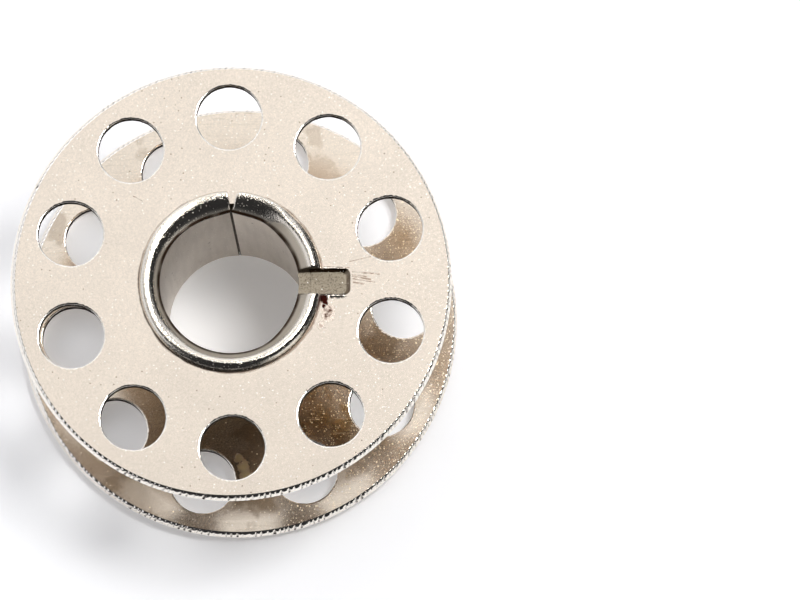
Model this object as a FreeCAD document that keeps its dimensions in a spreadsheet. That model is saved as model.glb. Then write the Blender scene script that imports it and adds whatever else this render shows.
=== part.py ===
import FreeCAD, Part
import os
import Sketcher

# Sewing machine bobbin: two pierced flanges clinched on a core tube rolled from strip.
# It stands on its lower lip with the spindle axis along +Z. The drive notch points to +X and the
# butt seam of the core to +Y. Lengths are millimetres and angles are degrees.

SIZES = (
    ("flange_diameter", 20.5, "over the crest of the rim"),
    ("flange_thickness", 0.5, "sheet that the flanges are stamped from"),
    ("rim_bevel_depth", 0.22, "radial depth of the bevel on each edge of the rim"),
    ("rim_land", 0.18, "width of the crest between the two bevels"),
    ("winding_width", 9.5, "room for thread between the flanges"),
    ("hole_count", 10, "holes pierced in each flange"),
    ("hole_diameter", 3.2, "of each pierced hole"),
    ("hole_margin", 0.86, "sheet left between a hole and the crest of the rim"),
    ("upper_hole_turn", 18.7, "from the drive notch to the first hole of the upper flange"),
    ("lower_hole_turn", 5.4, "the same angle on the lower flange"),
    ("bore_diameter", 6.6, "straight wall that takes the spindle"),
    ("core_wall", 0.6, "strip that the core is rolled from"),
    ("neck_wall", 0.4, "reduced ends of the core, which pass through the flanges"),
    ("neck_clearance", 0.02, "all round between a neck and its flange"),
    ("lip_overhang", 0.54, "how far a lip reaches past its neck, over the flange"),
    ("lip_height", 0.5, "how far a lip stands above the flange"),
    ("lip_roll", 0.4, "radius of the rounded outside of a lip"),
    ("flare_angle", 30, "between the conical mouth of the bore and its axis"),
    ("seam_gap", 0.06, "between the two butted edges of the strip"),
    ("seam_mouth_angle", 30, "how wide the seam opens where the lip was rolled out"),
    ("notch_width", 1.15, "of the drive notch"),
    ("notch_past_lip", 1.31, "from the edge of the lip to the closed end of the drive notch"),
    ("notch_floor", 0.2, "sheet left under the drive notch"),
    ("notch_corner", 0.25, "radius at the closed end of the notch"),
)

# Expressions that several features share.
FLANGE_RADIUS = "sizes.flange_diameter / 2"
BORE_RADIUS = "sizes.bore_diameter / 2"
HUB_RADIUS = f"({BORE_RADIUS} + sizes.core_wall)"
NECK_RADIUS = f"({BORE_RADIUS} + sizes.neck_wall)"
LIP_RADIUS = f"({NECK_RADIUS} + sizes.lip_overhang)"
CREST_RADIUS = f"({LIP_RADIUS} - sizes.lip_roll)"
FLARE_DEPTH = f"(({CREST_RADIUS} - {BORE_RADIUS}) / tan(sizes.flare_angle))"
HALF_WINDING = "sizes.winding_width / 2"
HALF_SPAN = f"({HALF_WINDING} + sizes.flange_thickness)"
HALF_HEIGHT = f"({HALF_SPAN} + sizes.lip_height)"
NOTCH_DEPTH = "(sizes.flange_thickness - sizes.notch_floor)"

doc = FreeCAD.newDocument("bobbin")


def make_sheet():
    """Writes the driving sizes into a spreadsheet, one alias to a row."""
    sheet = doc.addObject("Spreadsheet::Sheet", "sizes")
    for row, (alias, value, note) in enumerate(SIZES, start=1):
        sheet.set(f"A{row}", alias)
        sheet.set(f"B{row}", str(value))
        sheet.set(f"C{row}", note)
        sheet.setAlias(f"B{row}", alias)
    doc.recompute()


def origin_feature(body, role):
    """Finds a plane or an axis of a body's own origin."""
    return next(item for item in body.Origin.OriginFeatures if item.Role == role)


def new_sketch(body, name, role, height=None):
    """Attaches a sketch to an origin plane, raised by an expression where one is given."""
    sketch = body.newObject("Sketcher::SketchObject", name)
    sketch.AttachmentSupport = [(origin_feature(body, role), "")]
    sketch.MapMode = "FlatFace"
    if height:
        sketch.setExpression("AttachmentOffset.Base.z", height)
    return sketch


def drive(sketch, kind, geometry, point, expression):
    """Ties one coordinate of a sketch point to an expression of the sheet."""
    value = sketch.evalExpression(expression)
    index = sketch.addConstraint(Sketcher.Constraint(kind, -1, 1, geometry, point, value))
    sketch.setExpression(f"Constraints[{index}]", expression)


def draw_outline(sketch, corners, arcs=None):
    """Draws a closed outline, counter-clockwise, through corners given as pairs of expressions.

    arcs maps a corner's number to the centre of the arc that leads to the next corner.
    """
    arcs = arcs or {}
    spots = [FreeCAD.Vector(*(sketch.evalExpression(text) for text in corner), 0) for corner in corners]
    for number, start in enumerate(spots):
        end = spots[(number + 1) % len(spots)]
        side = Part.LineSegment(start, end)
        if number in arcs:
            centre = FreeCAD.Vector(*(sketch.evalExpression(text) for text in arcs[number]), 0)
            circle = Part.Circle(centre, FreeCAD.Vector(0, 0, 1), start.distanceToPoint(centre))
            side = Part.ArcOfCircle(circle, circle.parameter(start), circle.parameter(end))
        sketch.addGeometry(side)
    for number, (across, along) in enumerate(corners):
        following = (number + 1) % len(corners)
        sketch.addConstraint(Sketcher.Constraint("Coincident", number, 2, following, 1))
        drive(sketch, "DistanceX", number, 1, across)
        drive(sketch, "DistanceY", number, 1, along)
    for number, (across, along) in arcs.items():
        drive(sketch, "DistanceY", number, 3, along)


def revolve(body, sketch):
    """Turns a section once round the spindle axis."""
    turned = body.newObject("PartDesign::Revolution", f"{sketch.Name}_turned")
    turned.Profile = sketch
    turned.ReferenceAxis = (sketch, ["V_Axis"])
    turned.Angle = 360


def cut_upward(body, sketch):
    """Removes everything above a sketch, inside its outline."""
    doc.recompute()
    before = body.Shape.Volume
    pocket = body.newObject("PartDesign::Pocket", f"{sketch.Name}_cut")
    pocket.Profile = sketch
    pocket.Type = "ThroughAll"
    pocket.Reversed = True
    doc.recompute()
    if not body.Shape.Volume < before:
        raise RuntimeError(f"{pocket.Name} removes nothing from {body.Label}")
    return pocket


def draw_notch(sketch):
    """Draws the drive notch from the axis outward, with a rounded closed end."""
    half = "sizes.notch_width / 2"
    corner = f"({half} - sizes.notch_corner)"
    reach = f"({LIP_RADIUS} + sizes.notch_past_lip)"
    bend = f"({reach} - sizes.notch_corner)"
    corners = [
        ("0", f"-{half}"),
        (bend, f"-{half}"),
        (reach, f"-{corner}"),
        (reach, corner),
        (bend, half),
        ("0", half),
    ]
    draw_outline(sketch, corners, {1: (bend, f"-{corner}"), 3: (bend, corner)})


def make_flange(name, hole_turn, notched):
    """Stamps one flange, whose lower face lies at the height that its body is placed at."""
    body = doc.addObject("PartDesign::Body", name)
    eye = f"({NECK_RADIUS} + sizes.neck_clearance)"
    bevel = f"({FLANGE_RADIUS} - sizes.rim_bevel_depth)"
    section = new_sketch(body, f"{name}_section", "XZ_Plane")
    draw_outline(section, [
        (eye, "0"),
        (bevel, "0"),
        (FLANGE_RADIUS, "(sizes.flange_thickness - sizes.rim_land) / 2"),
        (FLANGE_RADIUS, "(sizes.flange_thickness + sizes.rim_land) / 2"),
        (bevel, "sizes.flange_thickness"),
        (eye, "sizes.flange_thickness"),
    ])
    revolve(body, section)

    hole = new_sketch(body, f"{name}_hole", "XY_Plane")
    distance = f"({FLANGE_RADIUS} - sizes.hole_margin - sizes.hole_diameter / 2)"
    spot = [f"{distance} * {turn}({hole_turn})" for turn in ("cos", "sin")]
    centre = FreeCAD.Vector(*(hole.evalExpression(text) for text in spot), 0)
    radius = hole.evalExpression("sizes.hole_diameter / 2")
    hole.addGeometry(Part.Circle(centre, FreeCAD.Vector(0, 0, 1), radius))
    drive(hole, "DistanceX", 0, 3, spot[0])
    drive(hole, "DistanceY", 0, 3, spot[1])
    size = hole.addConstraint(Sketcher.Constraint("Diameter", 0, 2 * radius))
    hole.setExpression(f"Constraints[{size}]", "sizes.hole_diameter")
    pierced = cut_upward(body, hole)

    ring = body.newObject("PartDesign::PolarPattern", f"{name}_hole_ring")
    ring.Originals = [pierced]
    ring.Axis = (origin_feature(body, "Z_Axis"), [""])
    ring.Angle = 360
    ring.setExpression("Occurrences", "sizes.hole_count")
    body.Tip = ring

    if notched:
        notch = new_sketch(body, f"{name}_notch", "XY_Plane", "sizes.notch_floor")
        draw_notch(notch)
        cut_upward(body, notch)
    return body


def draw_core_section(sketch):
    """Draws the wall of the core: hub, necks inside the flanges, and lips rolled over them."""
    roll_height = f"({HALF_HEIGHT} - sizes.lip_roll)"
    upper_half = [
        (HUB_RADIUS, HALF_WINDING),
        (NECK_RADIUS, HALF_WINDING),
        (NECK_RADIUS, HALF_SPAN),
        (LIP_RADIUS, HALF_SPAN),
        (LIP_RADIUS, roll_height),
        (CREST_RADIUS, HALF_HEIGHT),
        (BORE_RADIUS, f"({HALF_HEIGHT} - {FLARE_DEPTH})"),
    ]
    lower_half = [(across, f"-{along}") for across, along in reversed(upper_half)]
    upper_roll = upper_half.index((LIP_RADIUS, roll_height))
    lower_roll = 2 * len(upper_half) - 2 - upper_roll
    draw_outline(sketch, upper_half + lower_half, {
        upper_roll: (CREST_RADIUS, roll_height),
        lower_roll: (CREST_RADIUS, f"-{roll_height}"),
    })


def make_core():
    """Rolls the core tube: necked ends, lips turned over the flanges, butt seam and drive notch."""
    body = doc.addObject("PartDesign::Body", "core_tube")
    section = new_sketch(body, "core_section", "XZ_Plane")
    draw_core_section(section)
    revolve(body, section)

    half_gap = "sizes.seam_gap / 2"
    clear = f"(2 * {LIP_RADIUS})"
    seam = new_sketch(body, "core_seam", "XY_Plane", f"-{HALF_HEIGHT}")
    draw_outline(seam, [
        (f"-{half_gap}", "0"),
        (half_gap, "0"),
        (half_gap, clear),
        (f"-{half_gap}", clear),
    ])
    cut_upward(body, seam)

    half_mouth = f"({half_gap} + ({clear} - {BORE_RADIUS}) * tan(sizes.seam_mouth_angle / 2))"
    mouth = new_sketch(body, "core_seam_mouth", "XY_Plane", HALF_SPAN)
    draw_outline(mouth, [
        (f"-{half_gap}", BORE_RADIUS),
        (half_gap, BORE_RADIUS),
        (half_mouth, clear),
        (f"-{half_mouth}", clear),
    ])
    opened = cut_upward(body, mouth)
    both = body.newObject("PartDesign::Mirrored", "core_seam_mouths")
    both.Originals = [opened]
    both.MirrorPlane = (origin_feature(body, "XY_Plane"), [""])
    body.Tip = both

    notch = new_sketch(body, "core_notch", "XY_Plane", f"{HALF_SPAN} - {NOTCH_DEPTH}")
    draw_notch(notch)
    cut_upward(body, notch)
    return body


def check_and_write(bodies):
    """Refuses a failed feature or a broken solid, then writes each sub-part to its own file."""
    doc.recompute()
    failed = [item.Name for item in doc.Objects if {"Invalid", "Error"} & set(item.State)]
    if failed:
        raise RuntimeError(f"features that failed: {failed}")
    for body in bodies:
        if body.Shape.isNull() or not body.Shape.isValid() or len(body.Shape.Solids) != 1:
            raise RuntimeError(f"{body.Label} is not one valid solid")
    os.makedirs("parts", exist_ok=True)
    for body in bodies:
        body.Shape.exportStep(f"parts/{body.Label}.step")


make_sheet()
lower_flange = make_flange("lower_flange", "sizes.lower_hole_turn", notched=False)
lower_flange.setExpression("Placement.Base.z", "sizes.lip_height")
core_tube = make_core()
core_tube.setExpression("Placement.Base.z", HALF_HEIGHT)
upper_flange = make_flange("upper_flange", "sizes.upper_hole_turn", notched=True)
upper_flange.setExpression("Placement.Base.z", f"{HALF_HEIGHT} + {HALF_WINDING}")
check_and_write([lower_flange, core_tube, upper_flange])
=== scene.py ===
"""Looks of a steel sewing machine bobbin: two pierced flanges with knurled rims on a rolled, seamed core.

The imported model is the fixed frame. Each dressed mesh stands for one node of it, at the same size and place.
"""

import math

import bmesh
import bpy
from bpy.props import FloatProperty, FloatVectorProperty, IntProperty, PointerProperty
from mathutils import Matrix, Vector, geometry, noise


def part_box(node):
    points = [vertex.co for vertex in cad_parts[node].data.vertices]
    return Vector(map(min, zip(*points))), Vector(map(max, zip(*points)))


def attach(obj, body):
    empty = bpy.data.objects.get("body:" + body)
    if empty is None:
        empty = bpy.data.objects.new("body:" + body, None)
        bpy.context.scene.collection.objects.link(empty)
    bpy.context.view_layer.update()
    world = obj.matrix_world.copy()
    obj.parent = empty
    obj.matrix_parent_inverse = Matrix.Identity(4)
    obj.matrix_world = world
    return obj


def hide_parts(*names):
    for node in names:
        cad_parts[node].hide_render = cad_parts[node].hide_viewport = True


bl_info = {
    "name": "Steel sewing bobbin",
    "version": (1, 0, 0),
    "blender": (4, 5, 0),
    "location": "View3D > Sidebar > Bobbin",
    "description": "Dresses the packed bobbin: pierced flanges with knurled rims and a rolled core",
    "category": "Object",
}

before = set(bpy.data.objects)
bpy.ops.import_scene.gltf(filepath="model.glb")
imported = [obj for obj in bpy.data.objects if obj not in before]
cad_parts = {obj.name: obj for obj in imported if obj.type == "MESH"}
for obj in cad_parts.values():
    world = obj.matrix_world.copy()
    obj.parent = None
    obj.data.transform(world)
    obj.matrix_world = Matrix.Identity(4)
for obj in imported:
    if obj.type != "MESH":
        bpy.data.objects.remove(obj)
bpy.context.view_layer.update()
MM = 0.001
IMAGE_WIDTH = 800

# Heights in millimetres: the upper flange's outer face, and the lower flange's face in the gap for the thread.
FACE_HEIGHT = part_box("upper_flange")[1].z / MM
GAP_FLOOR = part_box("lower_flange")[1].z / MM

# Places of the materials in the flanges' meshes and in the core's.
FACE, INNER, NOTCH, RIM, WALL = range(5)
NICKEL, CUT, BORE = range(3)

# Sockets of a Mix node set to colours: the colour below, the colour laid over it, and the result.
BELOW, OVER, MIXED = 6, 7, 2

# Mesh columns round one hole, round an eye, and across the notch's floor in the core.
HOLE_COLUMNS, EYE_COLUMNS, NOTCH_COLUMNS = 144, 180, 18

# The punch raised a burr along the notch from just past the lip, at this distance from the axis in millimetres.
BURR_START = 4.3


def from_hex(text):
    """An sRGB hex value as a linear colour with full alpha."""
    parts = [int(text[i : i + 2], 16) / 255 for i in (0, 2, 4)]
    linear = [c / 12.92 if c <= 0.04045 else ((c + 0.055) / 1.055) ** 2.4 for c in parts]
    return (*linear, 1.0)


def to_mm(length):
    """A length in metres as millimetres, which the mesh code counts in."""
    return length / MM


def grain(size_mm):
    """The texture scale at which one cell of a pattern measures size_mm."""
    return 1 / (size_mm * MM)


class FlangeSettings(bpy.types.PropertyGroup):
    """Sizes and colours of the two stamped flanges."""

    hole_count: IntProperty(
        name="Holes", description="Round holes pierced in each flange", default=10, min=3, max=16
    )
    hole_diameter: FloatProperty(
        name="Hole diameter", description="Across the burnished edge of a hole", default=3.02 * MM, unit="LENGTH"
    )
    hole_circle: FloatProperty(
        name="Hole circle", description="Across the circle of hole centres", default=15.58 * MM, unit="LENGTH"
    )
    upper_turn: FloatProperty(
        name="Upper turn",
        description="Turn of the upper ring of holes from the notch",
        default=math.radians(18.7),
        subtype="ANGLE",
    )
    lower_turn: FloatProperty(
        name="Lower turn",
        description="Turn of the lower ring of holes from the notch",
        default=math.radians(5.4),
        subtype="ANGLE",
    )
    edge_roll: FloatProperty(
        name="Edge roll",
        description="Width of the round that the punch leaves at the top of a hole",
        default=0.07 * MM,
        unit="LENGTH",
    )
    eye_diameter: FloatProperty(
        name="Eye", description="Centre hole that the core's neck fills", default=7.44 * MM, unit="LENGTH"
    )
    rim_bevel: FloatProperty(
        name="Rim bevel", description="Radial depth of the rounded, knurled bevel", default=0.24 * MM, unit="LENGTH"
    )
    tooth_count: IntProperty(
        name="Teeth", description="Knurl teeth in one turn of the rim", default=228, min=24, max=400
    )
    tooth_depth: FloatProperty(
        name="Tooth depth", description="Depth of the knurl below its crests", default=0.07 * MM, unit="LENGTH"
    )
    tooth_lean: FloatProperty(
        name="Tooth lean", description="Shift of a tooth across its bevel, in pitches", default=0.4, subtype="FACTOR"
    )
    notch_reach: FloatProperty(
        name="Notch reach", description="Closed end of the notch from the axis", default=5.55 * MM, unit="LENGTH"
    )
    notch_width: FloatProperty(
        name="Notch width", description="Across the notch at its floor", default=1.02 * MM, unit="LENGTH"
    )
    notch_depth: FloatProperty(
        name="Notch depth", description="Floor of the notch below the flange's face", default=0.3 * MM, unit="LENGTH"
    )
    notch_corner: FloatProperty(
        name="Notch corner", description="Radius at the notch's closed end", default=0.25 * MM, unit="LENGTH"
    )
    notch_slope: FloatProperty(
        name="Notch slope", description="How far the struck walls lean outward", default=0.11 * MM, unit="LENGTH"
    )
    notch_runout: FloatProperty(
        name="Notch run-out",
        description="Length of the ramp at the notch's closed end",
        default=0.2 * MM,
        unit="LENGTH",
    )
    burr_height: FloatProperty(
        name="Burr height", description="Metal raised along the notch by the punch", default=0.05 * MM, unit="LENGTH"
    )
    rim_colour: FloatVectorProperty(
        name="Rim", description="Burnished nickel of the knurl", size=4, subtype="COLOR", default=from_hex("F2ECE3")
    )
    face_colour: FloatVectorProperty(
        name="Face", description="Nickel of the outer faces", size=4, subtype="COLOR", default=from_hex("E8DCCE")
    )
    inner_colour: FloatVectorProperty(
        name="Inner face", description="Nickel between the flanges", size=4, subtype="COLOR", default=from_hex("E6DACB")
    )
    notch_colour: FloatVectorProperty(
        name="Notch", description="Bare steel of the struck notch", size=4, subtype="COLOR", default=from_hex("857C6D")
    )
    # The torn wall's dark colour is partly painted shade, on the holes' walls and the notch's upper wall.
    torn_and_shaded_wall_colour: FloatVectorProperty(
        name="Torn wall",
        description="Torn steel in holes and notch",
        size=4,
        subtype="COLOR",
        default=from_hex("43362A"),
    )


class CoreSettings(bpy.types.PropertyGroup):
    """Sizes and colours of the rolled core."""

    bore_diameter: FloatProperty(
        name="Bore", description="Across the spindle bore", default=6.6 * MM, unit="LENGTH"
    )
    neck_diameter: FloatProperty(
        name="Neck", description="Across the necks in the flanges", default=7.4 * MM, unit="LENGTH"
    )
    hub_diameter: FloatProperty(
        name="Hub", description="Across the tube that the thread is wound on", default=7.8 * MM, unit="LENGTH"
    )
    lip_diameter: FloatProperty(
        name="Lip", description="Across the rolled lips", default=8.48 * MM, unit="LENGTH"
    )
    flare: FloatProperty(
        name="Flare", description="Slope of the conical mouths from the axis", default=math.radians(30), subtype="ANGLE"
    )
    mouth_depth: FloatProperty(
        name="Mouth depth", description="Crease of a mouth below its lip's crest", default=0.67 * MM, unit="LENGTH"
    )
    crest_round: FloatProperty(
        name="Crest round", description="Radius inside the crest of a lip", default=0.3 * MM, unit="LENGTH"
    )
    open_round: FloatProperty(
        name="Open round",
        description="Radius of the mouth where the split lets it open",
        default=1.0 * MM,
        unit="LENGTH",
    )
    open_crest: FloatProperty(
        name="Open crest", description="Across the crest where the split lets it open", default=8.2 * MM, unit="LENGTH"
    )
    seam_gap: FloatProperty(
        name="Seam gap", description="Width of the butt seam", default=0.03 * MM, unit="LENGTH"
    )
    seam_left: FloatProperty(
        name="Seam left",
        description="Opening of the split lip left of the seam",
        default=math.radians(10),
        subtype="ANGLE",
    )
    seam_right: FloatProperty(
        name="Seam right",
        description="Opening of the split lip right of the seam",
        default=math.radians(24),
        subtype="ANGLE",
    )
    straight_end: FloatProperty(
        name="Straight end",
        description="Turn over which the strip's ends stay straight at the upper lip",
        default=math.radians(16),
        subtype="ANGLE",
    )
    notch_press: FloatProperty(
        name="Notch press",
        description="How far the bore's edge was pressed inward at the notch",
        default=0.16 * MM,
        unit="LENGTH",
    )
    columns: IntProperty(
        name="Columns", description="Mesh columns in one turn of the core", default=440, min=60, max=700
    )
    nickel_colour: FloatVectorProperty(
        name="Nickel", description="Bright nickel of the core", size=4, subtype="COLOR", default=from_hex("E2DACD")
    )
    bore_colour: FloatVectorProperty(
        name="Bore nickel", description="Dull nickel of the bore", size=4, subtype="COLOR", default=from_hex("D9D0C5")
    )
    cut_colour: FloatVectorProperty(
        name="Cut steel",
        description="Steel where the notch cuts the lip",
        size=4,
        subtype="COLOR",
        default=from_hex("857C6D"),
    )


class StageSettings(bpy.types.PropertyGroup):
    """Floor, light and camera."""

    floor_size: FloatProperty(
        name="Floor", description="Side of the white floor", default=4.0, unit="LENGTH"
    )
    floor_colour: FloatVectorProperty(
        name="Floor colour", description="White card", size=4, subtype="COLOR", default=from_hex("F7F7F8")
    )
    floor_glow: FloatProperty(
        name="Floor glow",
        description="White added to the card where the camera or a mirror sees it",
        default=0.22,
        subtype="FACTOR",
    )
    camera_distance: FloatProperty(
        name="Camera distance", description="Camera to its target", default=627.819 * MM, unit="LENGTH"
    )
    camera_azimuth: FloatProperty(
        name="Azimuth", description="Camera's turn round the axis", default=math.radians(8.638), subtype="ANGLE"
    )
    camera_elevation: FloatProperty(
        name="Elevation", description="Camera's height over the floor", default=math.radians(79.121), subtype="ANGLE"
    )
    camera_roll: FloatProperty(
        name="Roll", description="Camera's turn about its own axis", default=math.radians(-8.778), subtype="ANGLE"
    )
    camera_target: FloatVectorProperty(
        name="Target",
        description="Point at the middle of the image",
        size=3,
        subtype="TRANSLATION",
        default=(7.846 * MM, -0.875 * MM, 11.0 * MM),
    )
    focal_pixels: FloatProperty(
        name="Focal length", description="Focal length in pixels of the 800 pixel wide image", default=13560.0
    )


def add(tree, kind, sockets=None, **settings):
    """Adds one node. A socket given another socket is linked to it, and given a value is set to it."""
    node = tree.nodes.new(kind)
    for name, value in settings.items():
        setattr(node, name, value)
    for key, value in (sockets or {}).items():
        if isinstance(value, bpy.types.NodeSocket):
            tree.links.new(value, node.inputs[key])
        else:
            node.inputs[key].default_value = value
    return node


def new_material(name):
    """An empty node material, and its tree."""
    material = bpy.data.materials.new(name)
    material.use_nodes = True
    material.node_tree.nodes.clear()
    return material, material.node_tree


def spot(tree, place, centre, radius, ragged, core=0.85):
    """Mask of a ragged spot on the surface: 1 in its core, 0 past its edge. Sizes are in millimetres."""
    edge = add(tree, "ShaderNodeTexNoise", {"Vector": place, "Scale": grain(0.25), "Detail": 5.0}).outputs["Fac"]
    away = add(
        tree, "ShaderNodeVectorMath", {0: place, 1: [c * MM for c in centre]}, operation="DISTANCE"
    ).outputs["Value"]
    bent = add(tree, "ShaderNodeMath", {0: edge, 1: ragged * MM, 2: away}, operation="MULTIPLY_ADD").outputs[0]
    rim = (radius + ragged / 2) * MM
    return add(
        tree,
        "ShaderNodeMapRange",
        {"Value": bent, "From Min": rim * core, "From Max": rim, "To Min": 1.0, "To Max": 0.0},
    ).outputs["Result"]


def crust(tree, place, spots, height):
    """Mask of a crumbly patch that thins out at its edge, made of spots (x, y, radius) at one height."""
    patch = either(tree, [spot(tree, place, (x, y, height), radius, 0.3, core=0.4) for x, y, radius in spots])
    crumbs = add(tree, "ShaderNodeTexNoise", {"Vector": place, "Scale": grain(0.12), "Detail": 4.0}).outputs["Fac"]
    thick = add(tree, "ShaderNodeMath", {0: patch, 1: crumbs}, operation="MULTIPLY").outputs[0]
    return add(tree, "ShaderNodeMapRange", {"Value": thick, "From Min": 0.12, "From Max": 0.55}).outputs["Result"]


def scratch(tree, place, start, end, width):
    """Mask of one straight scratch between two points of the face. Sizes are in millimetres."""
    run = Vector((*end, 0.0)) - Vector((*start, 0.0))
    length, along = run.length * MM, run.normalized()
    across = Vector((-along.y, along.x, 0.0))
    origin = Vector((*start, 0.0)) * MM
    moved = add(tree, "ShaderNodeVectorMath", {0: place, 1: origin}, operation="SUBTRACT").outputs["Vector"]
    down = add(tree, "ShaderNodeVectorMath", {0: moved, 1: along}, operation="DOT_PRODUCT").outputs["Value"]
    aside = add(tree, "ShaderNodeVectorMath", {0: moved, 1: across}, operation="DOT_PRODUCT").outputs["Value"]
    in_length = add(
        tree, "ShaderNodeMath", {0: down, 1: length / 2, 2: length / 2}, operation="COMPARE"
    ).outputs[0]
    in_width = add(tree, "ShaderNodeMath", {0: aside, 1: 0.0, 2: width * MM / 2}, operation="COMPARE").outputs[0]
    return add(tree, "ShaderNodeMath", {0: in_length, 1: in_width}, operation="MULTIPLY").outputs[0]


def either(tree, masks):
    """The strongest of several masks."""
    joined = masks[0]
    for mask in masks[1:]:
        joined = add(tree, "ShaderNodeMath", {0: joined, 1: mask}, operation="MAXIMUM").outputs[0]
    return joined


def axis_reach(tree, place):
    """Distance of the surface from the spindle axis."""
    flat = add(tree, "ShaderNodeVectorMath", {0: place, 1: (1.0, 1.0, 0.0)}, operation="MULTIPLY").outputs["Vector"]
    return add(tree, "ShaderNodeVectorMath", {0: flat}, operation="LENGTH").outputs["Value"]


def barrel_tumbled_metal(name, colour, roughness, marks=(), edge=(1.0, 1.0, 1.0, 1.0)):
    """Stamped steel, plated or bare, tumbled in a barrel: an even warm satin with grain and light and dark specks.

    Each mark is a colour, a function that draws its mask, and how much it roughens the surface. The edge colour is
    what shows at a glancing angle, and is dark where the metal is torn and not plated, which is also painted shade.
    """
    material, tree = new_material(name)
    place = add(tree, "ShaderNodeTexCoord").outputs["Object"]
    clouds = add(tree, "ShaderNodeTexNoise", {"Vector": place, "Scale": grain(3.0), "Detail": 3.0}).outputs["Fac"]
    # The tumbled grain is finer than a pixel, so it is drawn coarser than it is, to show.
    satin = add(tree, "ShaderNodeTexNoise", {"Vector": place, "Scale": grain(0.08), "Detail": 2.0}).outputs["Fac"]
    shade = add(
        tree,
        "ShaderNodeMapRange",
        {"Value": satin, "From Min": 0.3, "From Max": 0.7, "To Min": 0.92, "To Max": 1.05},
    ).outputs["Result"]
    tint = add(
        tree,
        "ShaderNodeMapRange",
        {"Value": clouds, "From Min": 0.3, "From Max": 0.7, "To Min": 0.96, "To Max": 1.02},
    ).outputs["Result"]
    both = add(tree, "ShaderNodeMath", {0: shade, 1: tint}, operation="MULTIPLY").outputs[0]
    surface = add(
        tree, "ShaderNodeMix", {"Factor": 1.0, BELOW: colour, OVER: both}, data_type="RGBA", blend_type="MULTIPLY"
    ).outputs[MIXED]
    rough = add(
        tree,
        "ShaderNodeMapRange",
        {"Value": satin, "From Min": 0.3, "From Max": 0.7, "To Min": roughness - 0.02, "To Max": roughness + 0.02},
    ).outputs["Result"]
    for hue, draw, dulling in (("9A866F", dark_specks, 0.1), ("FFFCF6", light_specks, 0.05), *marks):
        mask = draw(tree, place)
        surface = add(
            tree, "ShaderNodeMix", {"Factor": mask, BELOW: surface, OVER: from_hex(hue)}, data_type="RGBA"
        ).outputs[MIXED]
        rough = add(tree, "ShaderNodeMath", {0: mask, 1: dulling, 2: rough}, operation="MULTIPLY_ADD").outputs[0]
    relief = add(
        tree, "ShaderNodeBump", {"Height": satin, "Strength": 0.06, "Distance": 0.01 * MM}
    ).outputs["Normal"]
    shader = add(
        tree,
        "ShaderNodeBsdfPrincipled",
        {"Base Color": surface, "Metallic": 1.0, "Roughness": rough, "Specular Tint": edge, "Normal": relief},
    ).outputs["BSDF"]
    add(tree, "ShaderNodeOutputMaterial", {"Surface": shader})
    return material


def dots(tree, place, pitch, radius, share):
    """Mask of round dots, in a share of the cells of a scattered pattern. Pitch and radius are in millimetres."""
    cells = add(tree, "ShaderNodeTexVoronoi", {"Vector": place, "Scale": grain(pitch)})
    near = add(
        tree,
        "ShaderNodeMapRange",
        {
            "Value": cells.outputs["Distance"],
            "From Min": radius * 0.6 / pitch,
            "From Max": radius / pitch,
            "To Min": 1.0,
            "To Max": 0.0,
        },
    ).outputs["Result"]
    pick = add(tree, "ShaderNodeSeparateColor", {"Color": cells.outputs["Color"]}).outputs["Green"]
    few = add(tree, "ShaderNodeMath", {0: pick, 1: share}, operation="LESS_THAN").outputs[0]
    return add(tree, "ShaderNodeMath", {0: near, 1: few}, operation="MULTIPLY").outputs[0]


def dark_specks(tree, place):
    """Pores in the plating."""
    return dots(tree, place, 0.3, 0.036, 0.25)


def light_specks(tree, place):
    """Bright points where the tumbling chips struck."""
    return dots(tree, place, 0.17, 0.032, 0.35)


def face_scratches(tree, place):
    """Dark hairlines and points past the closed end of the notch. Each line is its start, end and width."""
    lines = (
        ((5.62, 0.47), (6.9, 0.35), 0.07),
        ((5.6, 0.34), (6.3, 0.24), 0.06),
        ((5.6, 0.26), (6.5, 0.1), 0.08),
        ((5.62, 0.14), (6.7, -0.03), 0.06),
        ((5.66, -0.02), (6.2, -0.12), 0.08),
        ((4.3, 0.72), (5.5, 0.66), 0.05),
        ((5.5, 0.95), (6.6, 1.2), 0.04),
        ((-4.55, 4.1), (-4.1, 3.85), 0.05),
    )
    worn = add(tree, "ShaderNodeTexNoise", {"Vector": place, "Scale": grain(0.3), "Detail": 2.0}).outputs["Fac"]
    kept = add(
        tree, "ShaderNodeMapRange", {"Value": worn, "From Min": 0.4, "From Max": 0.6, "To Min": 0.15, "To Max": 0.85}
    ).outputs["Result"]
    drawn = either(tree, [scratch(tree, place, *line) for line in lines])
    broken = add(tree, "ShaderNodeMath", {0: drawn, 1: kept}, operation="MULTIPLY").outputs[0]
    struck = spot(tree, place, (6.05, 0.15, FACE_HEIGHT), 0.45, 0.3)
    points = add(tree, "ShaderNodeMath", {0: dots(tree, place, 0.13, 0.04, 0.5), 1: struck}, operation="MULTIPLY")
    return either(tree, [broken, points.outputs[0]])


def split_shade(tree, place):
    """Painted shade and reflection: dark edges of the face in the open split of the lip, where the lip's cut ends shade
    the face and show in it.
    """
    lines = (((-0.2, 4.25), (-0.07, 3.5), 0.07), ((0.46, 4.2), (0.12, 3.5), 0.06))
    return either(tree, [scratch(tree, place, *line) for line in lines])


def gap_scratches(tree, place):
    """Hairlines that thread guides and needles drew in the gap, in three directions."""
    lines = []
    for turn in (0.35, 1.25, 2.3):
        along = add(
            tree, "ShaderNodeMapping", {"Vector": place, "Rotation": (0.0, 0.0, turn), "Scale": (0.06, 1.0, 0.0)}
        ).outputs["Vector"]
        streaks = add(tree, "ShaderNodeTexNoise", {"Vector": along, "Scale": grain(0.13), "Detail": 2.0}).outputs["Fac"]
        lines.append(
            add(
                tree,
                "ShaderNodeMapRange",
                {"Value": streaks, "From Min": 0.6, "From Max": 0.72, "To Min": 0.0, "To Max": 0.25},
            ).outputs["Result"]
        )
    return either(tree, lines)


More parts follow.
